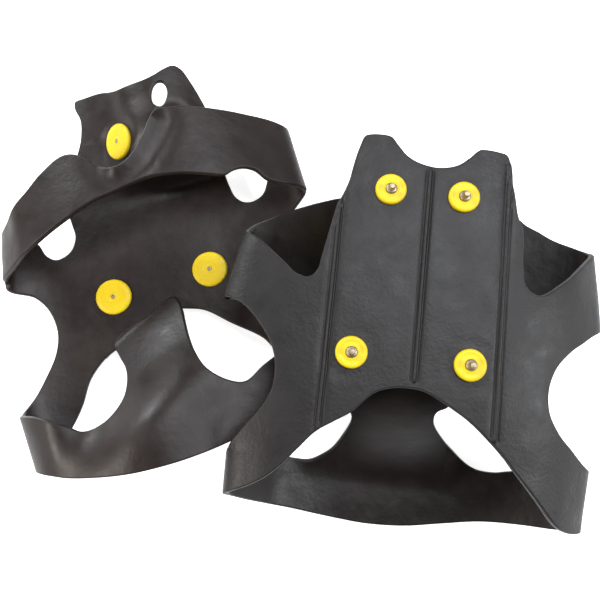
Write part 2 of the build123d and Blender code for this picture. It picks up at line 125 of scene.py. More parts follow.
L.toe_plan = [(FAR, -64.5), (FAR, -42.5), (60, -41.5), (46, -46), (35.4, -50.0), (26.4, -54.4), (20.3, -52.2), (12.7, -44.8), (8.9, -35.4), (7.5, -28.4), (6.9, -20.2),
              (6.7, -16.0), (6.0, -12.0), (4.6, -8.6), (2.4, -7.4), (-2.5, -9.4), (-9.4, -13.0), (-18.6, -15.0), (-23.6, -17.0), (-26.8, -19.2), (-28.2, -21.8), (-28.0, -23.8), (-27.0, -25.2), (-25.2, -29.2), (-22.9, -34.6),
              (-22.6, -40.4), (-24.6, -47.4), (-30.4, -52.9), (-38.5, -55.7), (-43.4, -55.2), (-47.5, -52.0), (-54, -47.6), (-62, -43.6), (-FAR, -41.0),
              (-FAR, -65.5), (-57.1, -69.8), (-50.6, -72.0), (-37, -74.8), (-24.3, -76.6), (-15.7, -77.2), (-7.2, -77.5), (0.5, -77.4),
              (9.5, -76.8), (28, -74.4), (45, -70.4), (60, -66.4)]

TAB_X = [-42.0, -24.0, -12.0, 0.0, 10.0, 20.0, 30.0, 44.0]
TAB_ROWS = [(38.0, [6.6] * 8), (45.0, [6.6] * 8), (54.0, [6.8, 7.3, 8.6, 12.2, 17.0, 19.4, 18.6, 14.6]),
            (66.0, [7.0, 7.6, 9.8, 16.4, 24.0, 26.6, 25.0, 19.0]), (82.0, [7.1, 8.4, 11.1, 17.9, 25.3, 27.9, 26.3, 20.5]),
            (100.0, [7.2, 9.2, 12.4, 19.4, 26.6, 29.0, 27.4, 22.0])]
STUDS = {
    "left": {"front_left": (-STUD_X, 0, 6.6, 0.0), "front_right": (STUD_X, 0, 6.6, 0.0),
             "rear_left": (0.2, 67.4, 16.6, -36.0), "rear_right": (27.8, 63.4, 24.2, 0.0)},
    "right": {"front_left": (-STUD_X, 0, 45.2, 180.0), "front_right": (STUD_X, 0, 45.2, 180.0),
              "rear_left": (REAR_MID - REAR_X, REAR_Y, 45.2, 180.0), "rear_right": (REAR_MID + REAR_X, REAR_Y, 45.2, 180.0)},
}


# ------------------------------------------------------------------ small maths
def smoothstep(a, b, v):
    t = np.clip((np.asarray(v, float) - a) / (b - a), 0.0, 1.0)
    return t * t * (3 - 2 * t)


def catmull(points, step, closed):
    """Points about step apart along a Catmull-Rom curve through the given ones."""
    p = [np.array(q, float) for q in points]
    n = len(p)
    out = []
    for i in range(n if closed else n - 1):
        a = p[(i - 1) % n] if closed or i > 0 else 2 * p[0] - p[1]
        b, c = p[i], p[(i + 1) % n]
        d = p[(i + 2) % n] if closed or i + 2 < n else 2 * p[-1] - p[-2]
        k = max(1, int(round(np.linalg.norm(c - b) / step)))
        # centripetal knots keep the curve from overshooting where the spacing changes
        ta = 0.0
        tb = ta + max(np.linalg.norm(b - a), 1e-6) ** 0.5
        tc = tb + max(np.linalg.norm(c - b), 1e-6) ** 0.5
        td = tc + max(np.linalg.norm(d - c), 1e-6) ** 0.5
        for j in range(k):
            t = tb + (tc - tb) * j / k
            a1 = (tb - t) / (tb - ta) * a + (t - ta) / (tb - ta) * b
            a2 = (tc - t) / (tc - tb) * b + (t - tb) / (tc - tb) * c
            a3 = (td - t) / (td - tc) * c + (t - tc) / (td - tc) * d
            b1 = (tc - t) / (tc - ta) * a1 + (t - ta) / (tc - ta) * a2
            b2 = (td - t) / (td - tb) * a2 + (t - tb) / (td - tb) * a3
            out.append((tc - t) / (tc - tb) * b1 + (t - tb) / (tc - tb) * b2)
    if not closed:
        out.append(p[-1])
    return np.array(out)


def inside(points, poly):
    """Which of the points lie in a closed polygon."""
    x, y = points[:, 0], points[:, 1]
    hit = np.zeros(len(points), bool)
    px, py = poly[:, 0], poly[:, 1]
    qx, qy = np.roll(px, -1), np.roll(py, -1)
    for a, b, c, d in zip(px, py, qx, qy):
        if b == d:
            continue
        m = (b > y) != (d > y)
        hit ^= m & (x < (c - a) * (y - b) / (d - b) + a)
    return hit


def distance_to(points, poly, closed=True):
    """Distance of each point to a polyline."""
    best = np.full(len(points), 1e9)
    q = np.roll(poly, -1, axis=0) if closed else poly[1:]
    p = poly if closed else poly[:-1]
    for a, b in zip(p, q):
        d = b - a
        ll = max(float(d @ d), 1e-12)
        t = np.clip(((points - a) @ d) / ll, 0, 1)
        e = points - a - t[:, None] * d
        best = np.minimum(best, e[:, 0] ** 2 + e[:, 1] ** 2)
    return np.sqrt(best)


# ------------------------------------------------------------------ the curved rubber sheet
def make_ring(cleat, top):
    """The closed cross section as two smooth tables: sole by distance from its middle, strap likewise."""
    loop = catmull(cleat.sole + top, 0.5, True)
    k = np.exp(-0.5 * (np.arange(-8, 9) / 2.6) ** 2)
    k /= k.sum()
    smooth = sum(w * np.roll(loop, s, axis=0) for w, s in zip(k, range(-8, 9)))
    n = len(smooth)
    right = int(np.argmax(smooth[:, 0]))
    left = int(np.argmin(smooth[:, 0]))
    order = [(left + i) % n for i in range((right - left) % n + 1)]
    sole = smooth[order]
    order = [(right + i) % n for i in range((left - right) % n + 1)]
    strap = smooth[order][::-1]
    tables = []
    for layer in (sole, strap):
        s = np.concatenate([[0], np.cumsum(np.linalg.norm(np.diff(layer, axis=0), axis=1))])
        s -= np.interp(0.0, layer[:, 0], s)
        tables.append((s, layer[:, 0], layer[:, 1]))
    return tables


def extend(table, s):
    """Table lookup that carries on straight past the ends."""
    t, x, z = table
    xs, zs = np.interp(s, t, x), np.interp(s, t, z)
    for end, nxt, m in ((0, 4, s < t[0]), (-1, -5, s > t[-1])):
        if np.any(m):
            d = (s - t[end])
            zx = (z[end] - z[nxt]) / (t[end] - t[nxt])
            zs = np.where(m, z[end] + zx * d, zs)
    return xs, zs


class Sheet:
    """One layer of a cleat, as a map from (s, y) to a point in the cleat's own frame."""

    def __init__(self, cleat, kind):
        self.cleat, self.kind = cleat, kind
        rear, toe = make_ring(cleat, cleat.rear), make_ring(cleat, cleat.toe)
        index = 0 if kind == "sole" else 1
        self.rear, self.toe = rear[index], toe[index]
        self.lo = float(self.rear[0][0] if kind != "toe" else self.toe[0][0])
        self.hi = float(self.rear[0][-1] if kind != "toe" else self.toe[0][-1])

    def warp(self, x, y):
        c = self.cleat
        fl = np.interp(y, [p[0] for p in c.fold_left], [p[1] for p in c.fold_left]) - c.folds[0]
        fr = np.interp(y, [p[0] for p in c.fold_right], [p[1] for p in c.fold_right]) - c.folds[1]
        return x + fl * smoothstep(42, -c.folds[0], -x) + fr * smoothstep(46, c.folds[1], x)

    def section(self, s, y):
        if self.kind == "sole":
            xa, za = extend(self.rear, s)
            xb, zb = extend(self.toe, s)
            w = smoothstep(-8, 14, y)
            x, z = xb + (xa - xb) * w, zb + (za - zb) * w
        else:
            x, z = extend(self.rear if self.kind == "rear" else self.toe, s)
        return self.warp(x, y), z

    def s_of(self, x, y):
        """Arc position of a plan point."""
        if x >= FAR:
            return self.hi
        if x <= -FAR:
            return self.lo
        s = np.linspace(self.lo, self.hi, 900)
        xs, _ = self.section(s, np.full(900, float(y)))
        return float(np.interp(x, xs, s))

    def middle(self, s, y):
        x, z = self.section(s, y)
        c = self.cleat
        p = np.stack([x, np.array(y, float), z], axis=1)
        if c.name == "left" and self.kind == "sole":
            z = p[:, 2]
            base = np.full(len(z), 6.6)
            cols = []
            for yy, row in TAB_ROWS:
                fine = catmull(list(zip(TAB_X, row)), 0.5, False)
                cols.append(np.interp(x, fine[:, 0], fine[:, 1]))
            cols = np.array(cols)
            ys = np.array([r[0] for r in TAB_ROWS])
            i = np.clip(np.searchsorted(ys, y) - 1, 0, len(ys) - 2)
            t = np.clip((y - ys[i]) / (ys[i + 1] - ys[i]), 0, 1)
            k = np.arange(len(z))
            m1 = (cols[np.minimum(i + 1, len(ys) - 1), k] - cols[np.maximum(i - 1, 0), k]) / (ys[i + 1] - ys[np.maximum(i - 1, 0)] + 1e-9)
            m2 = (cols[np.minimum(i + 2, len(ys) - 1), k] - cols[i, k]) / (ys[np.minimum(i + 2, len(ys) - 1)] - ys[i] + 1e-9)
            h = ys[i + 1] - ys[i]
            tab = ((2 * t ** 3 - 3 * t ** 2 + 1) * cols[i, k] + (t ** 3 - 2 * t ** 2 + t) * h * m1
                   + (3 * t ** 2 - 2 * t ** 3) * cols[i + 1, k] + (t ** 3 - t ** 2) * h * m2)
            lift = (tab - base) * smoothstep(46, 43, np.abs(x))
            p[:, 2] = z + lift
            for sx, sy, sz, roll in (STUDS["left"]["rear_left"], STUDS["left"]["rear_right"]):
                d = np.hypot(x - sx, y - sy)
                w = 1 - smoothstep(6.5, 12.5, d)
                plane = sz + math.tan(math.radians(-roll)) * (x - sx)
                p[:, 2] = p[:, 2] + (plane - p[:, 2]) * w
        # slow unevenness of a moulded sheet that has lain about
        amp = 0.30
        q = p[:, 0] * 0.061 + p[:, 1] * 0.043 + (1.7 if c.name == "left" else 4.1)
        r = p[:, 0] * 0.037 - p[:, 1] * 0.071 + (0.6 if self.kind == "sole" else 2.9)
        wave = amp * (np.sin(q) * np.cos(r * 1.3) + 0.6 * np.sin(2.3 * r + 0.7 * q))
        fade = smoothstep(18, 34, np.abs(p[:, 0])) * smoothstep(0, 9, np.minimum(self.hi - s, s - self.lo))
        if self.kind != "sole":
            fade = smoothstep(0, 14, np.minimum(self.hi - s, s - self.lo))
        for sx, sy, sz, roll in STUDS[c.name].values():
            if self.kind == "sole":
                fade = fade * smoothstep(9, 15, np.hypot(p[:, 0] - sx, p[:, 1] - sy))
        low = smoothstep(2.2, 6.0, p[:, 2])
        p[:, 2] = p[:, 2] + wave * fade * low
        p[:, 2] = p[:, 2] + self.folds_and_lips(p, s, y)
        return p

    def folds_and_lips(self, p, s, y):
        """Where a strap leaves its plain cross section: returns the change of height."""
        c = self.cleat
        x = p[:, 0]
        z = p[:, 2]
        dz = np.zeros(len(x))
        if c.name == "left" and self.kind == "rear":
            # the edge over the pull tab is turned up into a lip with a valley in front of it,
            # and the band sags a little towards its left end
            d = distance_to(np.stack([x, p[:, 1]], axis=1), LIP, closed=False)
            dz += 1.3 * np.exp(-(d / 3.0) ** 2) - 1.3 * np.exp(-((d - 8.0) / 4.6) ** 2)
            d = distance_to(np.stack([x, p[:, 1]], axis=1), FLUSH, closed=False)
            dz += -0.3 * np.exp(-(d / 6.0) ** 2)
        if c.name == "left" and self.kind == "toe":
            # the tongue in the middle comes down onto the front of the pad
            d = 0.43 * (x + 29) - 0.90 * (y + 25)
            w = np.interp(d, TONGUE_D, TONGUE_W)
            m = smoothstep(-56, -30, x)
            dz += (6.95 - z) * (1 - w) * m
        if c.name == "right" and self.kind == "toe":
            # the tongue in the middle rises to the underside of the pad
            w = smoothstep(-56, -8, y) * (1 - smoothstep(28, 42, np.abs(x)))
            dz += (33.0 - z) * w - 0.016 * np.minimum(np.abs(x - 3), 22) ** 2 * w
        return dz

    def frame(self, s, y):
        """Middle point, unit normal (sole-up side for which z rises) and the two unit tangents."""
        e = 0.5
        p = self.middle(s, y)
        ds = (self.middle(s + e, y) - self.middle(s - e, y))
        dy = (self.middle(s, y + e) - self.middle(s, y - e))
        ds /= np.linalg.norm(ds, axis=1)[:, None]
        dy /= np.linalg.norm(dy, axis=1)[:, None]
        n = np.cross(ds, dy)
        n /= np.linalg.norm(n, axis=1)[:, None]
        return p, n, ds, dy

    def rib_height(self, s, y):
        h = np.zeros(len(s))
        if self.kind != "sole":
            return h
        for x0, y0, y1 in self.cleat.ribs:
            d = np.abs(s - x0)
            prof = np.interp(d, [0, 0.35, 0.7, 1.0, 1.35, 1.75, 2.4], [0.80, 0.72, 0.25, -0.42, -0.46, -0.20, 0.0])
            ends = smoothstep(y0 - 0.6, y0 + 0.6, y) * (1 - smoothstep(y1 - 1.0, y1 + 1.0, y))
            h += prof * ends
        for sx, sy, sz, roll in STUDS[self.cleat.name].values():
            r = np.hypot(s - sx, y - sy)
            h += -0.10 * np.exp(-((r - 9.0) / 2.0) ** 2)
        return h

    def face(self, s, y, side):
        p, n, _, _ = self.frame(s, y)
        h = SHEET_T / 2
        if side == self.cleat.rib_side:
            h = h + self.rib_height(s, y)
        return p + n * (side * h)[:, None] if isinstance(h, np.ndarray) else p + n * side * h

    def face_normal(self, s, y, side):
        e = 0.18
        ds = self.face(s + e, y, side) - self.face(s - e, y, side)
        dy = self.face(s, y + e, side) - self.face(s, y - e, side)
        n = np.cross(ds, dy) * side
        return n / np.linalg.norm(n, axis=1)[:, None]


# share of the toe band's own height along the left tongue, an even slope that levels out at both ends
TONGUE_D = np.linspace(-5.0, 46.0, 103)
TONGUE_W = np.cumsum(0.0207 * smoothstep(-5, 1, TONGUE_D) * (1 - smoothstep(22, 46, TONGUE_D))
                     + 0.0105 * smoothstep(14, 26, TONGUE_D) * (1 - smoothstep(30, 46, TONGUE_D)))
TONGUE_W = TONGUE_W / TONGUE_W[-1]
LIP = np.array([(0.0, 45.6), (3.4, 46.4), (8.6, 50.0), (14.0, 56.2), (18.4, 62.4)])
FLUSH = np.array([(-26.0, 55.6), (-21.5, 57.0), (-16.1, 56.4), (-11.4, 52.7)])
RIM = [(0.0, 1.30), (0.30, 1.235), (0.55, 1.05), (0.72, 0.75), (0.80, 0.38), (0.82, 0.0)]
RIM = RIM + [(a, -b) for a, b in reversed(RIM[:-1])]
INSET = 0.82
RIB_MARKS = (-2.4, -1.75, -1.35, -1.0, -0.7, -0.35, 0.0, 0.35, 0.7, 1.0, 1.35, 1.75, 2.4)


def to_row(cleat, p):
    a = math.radians(cleat.turn)
    x = cleat.origin[0] + SHIFT[0] + p[:, 0] * math.cos(a) - p[:, 1] * math.sin(a)
    y = cleat.origin[1] + SHIFT[1] + p[:, 0] * math.sin(a) + p[:, 1] * math.cos(a)
    return np.stack([x, y, p[:, 2]], axis=1) * 0.001


def turn_row(cleat, n):
    a = math.radians(cleat.turn)
    return np.stack([n[:, 0] * math.cos(a) - n[:, 1] * math.sin(a), n[:, 0] * math.sin(a) + n[:, 1] * math.cos(a), n[:, 2]], axis=1)


def offset_loop(loop, amount, fixed):
    """Moves a closed counter-clockwise loop inwards. The fixed argument is not used."""
    t = np.roll(loop, -1, axis=0) - np.roll(loop, 1, axis=0)
    t /= np.maximum(np.linalg.norm(t, axis=1), 1e-9)[:, None]
    n = np.stack([-t[:, 1], t[:, 0]], axis=1)
    out = loop + n * amount
    return out, -n


def build_piece(name, cleat, kind, plan, y_from=None, y_to=None, holes=()):
    """A closed rubber piece over one outline of a layer, cut straight across y at y_to, or else at y_from, if one is
    given.
    """
    sheet = Sheet(cleat, kind)
    # outline in (s, y), split into runs between cuts so that the cuts stay straight
    pts = [(sheet.s_of(x, y), y, abs(x) >= FAR) for x, y in plan]
    n = len(pts)
    loop, is_cut = [], []
    i0 = next((i for i in range(n) if pts[i][2] and pts[(i + 1) % n][2]), 0)
    pts = pts[i0:] + pts[:i0]
    i = 0
    while i < n:
        a, b = pts[i], pts[(i + 1) % n]
        if a[2] and b[2]:
            m = max(2, int(abs(b[1] - a[1]) / 1.5))
            for j in range(m):
                loop.append((a[0], a[1] + (b[1] - a[1]) * j / m))
                is_cut.append(True)
            i += 1
            continue
        j = i
        run = [a[:2]]
        while j < n:
            j += 1
            run.append(pts[j % n][:2])
            if pts[j % n][2]:
                break
        fine = catmull(run, 0.8, False)
        # even out the spacing
        d = np.concatenate([[0], np.cumsum(np.linalg.norm(np.diff(fine, axis=0), axis=1))])
        k = max(2, int(d[-1] / 1.25))
        at = np.linspace(0, d[-1], k + 1)[:-1]
        for u in at:
            loop.append((float(np.interp(u, d, fine[:, 0])), float(np.interp(u, d, fine[:, 1]))))
            is_cut.append(False)
        i = j
    loop = np.array(loop)
    is_cut = np.array(is_cut)
    area = 0.5 * np.sum(loop[:, 0] * np.roll(loop[:, 1], -1) - np.roll(loop[:, 0], -1) * loop[:, 1])
    if area < 0:
        loop, is_cut = loop[::-1].copy(), np.roll(is_cut[::-1], -1)
    if y_from is not None or y_to is not None:
        loop, is_cut = cut_loop(loop, is_cut, y_from, y_to, [r[0] for r in cleat.ribs])
    loops = [(loop, is_cut)]
    for cx, cy, rx, ry, rot in holes:
        a = np.linspace(0, 2 * math.pi, 27)[:-1]
        hx, hy = rx * np.cos(a), ry * np.sin(a)
        q = np.stack([cx + hx * math.cos(rot) - hy * math.sin(rot), cy + hx * math.sin(rot) + hy * math.cos(rot)], axis=1)[::-1]
        s = np.array([sheet.s_of(x, y) for x, y in q])
        loops.append((np.stack([s, q[:, 1]], axis=1), np.zeros(len(q), bool)))
    rims, rim_out, rim_cut = [], [], []
    for lp, cut in loops:
        inner, out = offset_loop(lp, INSET, cut)
        nxt = np.roll(cut, 1)
        for i in range(len(lp)):
            if cut[i] or nxt[i]:
                # a point on a cut stays on it; corners move only along it
                inner[i] = lp[i]
                if cut[i] != nxt[i]:
                    other = lp[(i + 1) % len(lp)] if cut[i] else lp[i - 1]
                    d = other - lp[i]
                    d /= max(np.linalg.norm(d), 1e-9)
                    inner[i] = lp[i] + d * INSET
                    out[i] = -d
        rims.append(inner)
        rim_out.append(out)
        rim_cut.append(cut)
    # points of the flat domain
    verts, edges = [], []
    for inner in rims:
        base = len(verts)
        verts += [tuple(v) for v in inner]
        edges += [(base + i, base + (i + 1) % len(inner)) for i in range(len(inner))]
    rim_count = len(verts)
    rail = []
    for inner, cut in zip(rims, rim_cut):
        sup, _ = offset_loop(inner, 0.75, None)
        keep = ~(cut | np.roll(cut, 1))
        rail += [tuple(v) for v in sup[keep]]
    outer = rims[0]
    lo, hi = outer.min(axis=0), outer.max(axis=0)
    step = 1.9
    grid = []
    row = 0
    y = lo[1]
    while y <= hi[1]:
        off = 0.5 * step if row % 2 else 0.0
        xs = np.arange(lo[0] + off, hi[0], step)
        grid += [(x, y) for x in xs]
        row += 1
        y += step * 0.866
    grid = np.array(grid)
    if kind == "sole":
        for x0, y0, y1 in cleat.ribs:
            grid = grid[~((np.abs(grid[:, 0] - x0) < 3.3) & (grid[:, 1] > y0 - 2) & (grid[:, 1] < y1 + 2))]
        rows = []
        for x0, y0, y1 in cleat.ribs:
            ys = np.concatenate([[y0 - 0.6, y0 - 0.2, y0 + 0.2, y0 + 0.6], np.arange(y0 + 1.8, y1 - 2.0, 1.5), [y1 - 1.0, y1 - 0.3, y1 + 0.3, y1 + 1.0]])
            for dx in RIB_MARKS:
                rows += [(x0 + dx, yy) for yy in ys]
        grid = np.concatenate([grid, np.array(rows)])
    rail = np.array(rail)
    d = np.min(np.stack([distance_to(grid, r) for r in rims]), axis=0)
    grid = grid[inside(grid, outer) & (d > 1.35)]
    d = np.min(np.stack([distance_to(rail, r) for r in rims]), axis=0)
    rail = rail[inside(rail, outer) & (d > 0.6)]
    for k, r in enumerate(rims[1:]):
        grid = grid[~inside(grid, r)]
        rail = rail[~inside(rail, r)]
    verts += [tuple(v) for v in rail] + [tuple(v) for v in grid]
    out = delaunay_2d_cdt([Vector(v) for v in verts], edges, [], 0, 1e-5)
    flat = np.array([(v[0], v[1]) for v in out[0]])
    tris = np.array([f for f in out[2] if len(f) == 3])
    orig = out[3]
    centre = flat[tris].mean(axis=1)
    ok = inside(centre, outer)
    for r in rims[1:]:
        ok &= ~inside(centre, r)
    tris = tris[ok]
    a, b, c = flat[tris[:, 0]], flat[tris[:, 1]], flat[tris[:, 2]]
    area = (b[:, 0] - a[:, 0]) * (c[:, 1] - a[:, 1]) - (b[:, 1] - a[:, 1]) * (c[:, 0] - a[:, 0])
    tris[area < 0] = tris[area < 0][:, ::-1]
    new_of = {}
    for i, o in enumerate(orig):
        for q in o:
            new_of[q] = i
    s, y = flat[:, 0], flat[:, 1]
    nv = len(flat)
    co = [sheet.face(s, y, 1), sheet.face(s, y, -1)]
    no = [sheet.face_normal(s, y, 1), sheet.face_normal(s, y, -1)]
    faces = [tuple(t) for t in tris] + [tuple(int(v) + nv for v in t[::-1]) for t in tris]
    co, no = list(np.concatenate(co)), list(np.concatenate(no))
    base = 0
    for inner, outdir, cut in zip(rims, rim_out, rim_cut):
        m = len(inner)
        ids = [new_of[base + i] for i in range(m)]
        base += m
        p, nn, ds, dy = sheet.frame(inner[:, 0], inner[:, 1])
        o = ds * outdir[:, 0][:, None] + dy * outdir[:, 1][:, None]
        o -= nn * np.sum(o * nn, axis=1)[:, None]
        o /= np.maximum(np.linalg.norm(o, axis=1), 1e-9)[:, None]
        rows = [[i for i in ids]]
        on_cut = cut & np.roll(cut, 1)
        top, bottom = np.array([co[i] for i in ids]), np.array([co[i + nv] for i in ids])
        for k, (a, b) in enumerate(RIM[1:-1], start=1):
            t = (b + SHEET_T / 2) / SHEET_T
            q = bottom + (top - bottom) * t
            q = q + o * (a * (~on_cut))[:, None]
            r0, r1 = RIM[k - 1], RIM[k + 1]
            ta, tb = r1[0] - r0[0], r1[1] - r0[1]
            ln = math.hypot(ta, tb)
            na, nb = -tb / ln, ta / ln
            v = o * na + nn * nb
            v = np.where(on_cut[:, None], o, v)
            start = len(co)
            co += list(q)
            no += list(v / np.linalg.norm(v, axis=1)[:, None])
            rows.append(list(range(start, start + m)))
        rows.append([i + nv for i in ids])
        for k in range(len(rows) - 1):
            for i in range(m):
                j = (i + 1) % m
                faces.append((rows[k][j], rows[k][i], rows[k + 1][i], rows[k + 1][j]))
    co, no = to_row(cleat, np.array(co)), turn_row(cleat, np.array(no))
    me = bpy.data.meshes.new(name)
    me.from_pydata([tuple(v) for v in co], [], [tuple(int(i) for i in f) for f in faces])
    me.validate(clean_customdata=False)
    me.update()
    me.shade_smooth()
    if len(me.vertices) == len(no):
        me.normals_split_custom_set_from_vertices([tuple(v) for v in no])
    obj = bpy.data.objects.new(name, me)
    bpy.context.scene.collection.objects.link(obj)
    # smooth colour and wear masks that travel with the mesh
    at = me.attributes.new("edge_wear", "FLOAT", "POINT")
    wear = np.zeros(len(me.vertices))
    d = np.min(np.stack([distance_to(flat, r) for r in rims]), axis=0)
    wear[:nv] = np.exp(-d / 1.2)
    wear[nv:2 * nv] = wear[:nv]
    wear[2 * nv:] = 1.0
    at.data.foreach_set("value", wear.astype(np.float32))
    return obj


def cut_loop(loop, is_cut, y_from, y_to, ribs=()):
    """Keeps the part of the loop with y_from <= y <= y_to, closing it with one straight cut across the tab."""
    limit = y_to if y_to is not None else y_from
    keep = (loop[:, 1] <= limit) if y_to is not None else (loop[:, 1] >= limit)
    n = len(loop)
    # only the central run beyond the limit belongs to the tab
    central = np.abs(loop[:, 0]) < 43.5
    tab = (loop[:, 1] > limit) & central
    run = [i for i in range(n) if tab[i]]
    starts = [i for i in run if not tab[i - 1]]
    i0 = starts[0]
    ids = []
    i = i0
    while tab[i % n]:
        ids.append(i % n)
        i += 1
    before, after = (ids[0] - 1) % n, (ids[-1] + 1) % n

    def cross(a, b):
        t = (limit - loop[a, 1]) / (loop[b, 1] - loop[a, 1])
        return loop[a] + (loop[b] - loop[a]) * t
    p, q = cross(before, ids[0]), cross(ids[-1], after)
    if ribs:
        marks = [x0 + dx for x0 in ribs for dx in RIB_MARKS]
        plain = [v for v in np.arange(min(p[0], q[0]) + 1.25, max(p[0], q[0]) - 0.6, 1.25) if min(abs(v - x0) for x0 in ribs) > 3.0]
        xs = sorted(v for v in marks + plain if min(p[0], q[0]) + 0.5 < v < max(p[0], q[0]) - 0.5)
        if p[0] > q[0]:
            xs = xs[::-1]
        fwd = [p] + [np.array([v, limit]) for v in xs]
        back = [q] + [np.array([v, limit]) for v in xs[::-1]]
    else:
        m = max(2, int(np.linalg.norm(q - p) / 1.25))
        fwd = [p + (q - p) * k / m for k in range(m)]
        back = [q + (p - q) * k / m for k in range(m)]
    if y_to is not None:
        rest = []
        i = after
        while i % n != ids[0]:
            rest.append(i % n)
            i += 1
        bridge = fwd
        m = len(bridge)
        pts = [q] + [loop[i] for i in rest] + bridge
        cut = [False] + [bool(is_cut[i]) for i in rest] + [True] * m
    else:
        bridge = back
        m = len(bridge)
        pts = [p] + [loop[i] for i in ids] + bridge
        cut = [False] + [False] * len(ids) + [True] * m
    return np.array(pts), np.array(cut)


# ------------------------------------------------------------------ materials
def node(nt, kind, **values):
    n = nt.nodes.new(kind)
    for k, v in values.items():
        if k.startswith("in_"):
            n.inputs[k[3:].replace("_", " ")].default_value = v
        else:
            setattr(n, k, v)
    return n


def ramp(nt, src, stops):
    r = nt.nodes.new("ShaderNodeValToRGB")
    while len(r.color_ramp.elements) < len(stops):
        r.color_ramp.elements.new(0.5)
    for e, (p, c) in zip(r.color_ramp.elements, stops):
        e.position = p
        e.color = (c[0], c[1], c[2], 1) if isinstance(c, tuple) else (c, c, c, 1)
    nt.links.new(src, r.inputs[0])
    return r.outputs[0]


def noise(nt, coord, scale, detail=2.0, rough=0.5, distortion=0.0):
    n = nt.nodes.new("ShaderNodeTexNoise")
    n.inputs["Scale"].default_value = scale
    n.inputs["Detail"].default_value = detail
    n.inputs["Roughness"].default_value = rough
    n.inputs["Distortion"].default_value = distortion
    nt.links.new(coord, n.inputs["Vector"])
    return n.outputs["Fac"]


def mix(nt, fac, a, b):
    m = nt.nodes.new("ShaderNodeMix")
    m.data_type = "RGBA"
    for sock, v in ((0, fac), (6, a), (7, b)):
        if isinstance(v, (tuple, float, int)):
            m.inputs[sock].default_value = v if not isinstance(v, tuple) else (v[0], v[1], v[2], 1)
        else:
            nt.links.new(v, m.inputs[sock])
    return m.outputs[2]


def add(nt, a, b, op="ADD"):
    m = nt.nodes.new("ShaderNodeMath")
    m.operation = op
    for i, v in enumerate((a, b)):
        if isinstance(v, (float, int)):
            m.inputs[i].default_value = v
        else:
            nt.links.new(v, m.inputs[i])
    return m.outputs[0]


def bump(nt, height, strength, distance):
    b = nt.nodes.new("ShaderNodeBump")
    b.inputs["Strength"].default_value = strength
    b.inputs["Distance"].default_value = distance
    nt.links.new(height, b.inputs["Height"])
    return b.outputs["Normal"]


def start(name):
    m = bpy.data.materials.new(name)
    m.use_nodes = True
    nt = m.node_tree
    nt.nodes.clear()
    out = nt.nodes.new("ShaderNodeOutputMaterial")
    p = nt.nodes.new("ShaderNodeBsdfPrincipled")
    nt.links.new(p.outputs[0], out.inputs[0])
    c = nt.nodes.new("ShaderNodeTexCoord")
    return m, nt, p, c.outputs["Object"]


def rubber(name, tone, seed, grain_strength=0.32, base=0.48):
    """Dark moulded rubber: faint mottling, fine leathery grain, drier and paler at the edges."""
    m, nt, p, obj = start(name)
    shift = nt.nodes.new("ShaderNodeVectorMath")
    shift.operation = "ADD"
    shift.inputs[1].default_value = (seed, seed * 0.7, seed * 0.3)
    nt.links.new(obj, shift.inputs[0])
    co = shift.outputs[0]
    big = noise(nt, co, 22.0, 3.0, 0.55, 0.4)
    mid = noise(nt, co, 130.0, 4.0, 0.6, 0.2)
    fine = noise(nt, co, 1150.0, 3.0, 0.62, 0.3)
    dust = noise(nt, co, 420.0, 5.0, 0.7, 0.0)
    wear = nt.nodes.new("ShaderNodeAttribute")
    wear.attribute_name = "edge_wear"
    dark = tuple(v * 0.74 for v in tone)
    light = tuple(v * 1.28 for v in tone)
    col = mix(nt, ramp(nt, big, [(0.3, 0.0), (0.7, 1.0)]), dark, light)
    col = mix(nt, ramp(nt, mid, [(0.45, 0.0), (0.75, 0.35)]), col, tuple(v * 1.5 for v in tone))
    dusty = ramp(nt, dust, [(0.60, 0.0), (0.82, 0.16)])
    col = mix(nt, dusty, col, (0.055, 0.05, 0.046))
    edge = add(nt, wear.outputs["Fac"], ramp(nt, mid, [(0.35, 0.15), (0.7, 0.6)]), "MULTIPLY")
    col = mix(nt, edge, col, tuple(v * 1.35 for v in tone))
    nt.links.new(col, p.inputs["Base Color"])
    r = add(nt, ramp(nt, mid, [(0.25, 0.0), (0.8, 0.14)]), ramp(nt, big, [(0.3, base), (0.72, base + 0.08)]))
    r = add(nt, r, add(nt, edge, 0.08, "MULTIPLY"))
    nt.links.new(r, p.inputs["Roughness"])
    vor = nt.nodes.new("ShaderNodeTexVoronoi")
    vor.feature = "SMOOTH_F1"
    vor.inputs["Scale"].default_value = 760.0
    nt.links.new(co, vor.inputs["Vector"])
    h = add(nt, add(nt, fine, 0.55, "MULTIPLY"), add(nt, vor.outputs["Distance"], 0.45, "MULTIPLY"))
    n1 = bump(nt, h, grain_strength, 0.0006)
    b2 = nt.nodes.new("ShaderNodeBump")
    b2.inputs["Strength"].default_value = 0.22
    b2.inputs["Distance"].default_value = 0.002
    nt.links.new(noise(nt, co, 75.0, 3.0, 0.5), b2.inputs["Height"])
    nt.links.new(n1, b2.inputs["Normal"])
    nt.links.new(b2.outputs["Normal"], p.inputs["Normal"])
    p.inputs["Specular IOR Level"].default_value = 0.42
    p.inputs["IOR"].default_value = 1.5
    return m


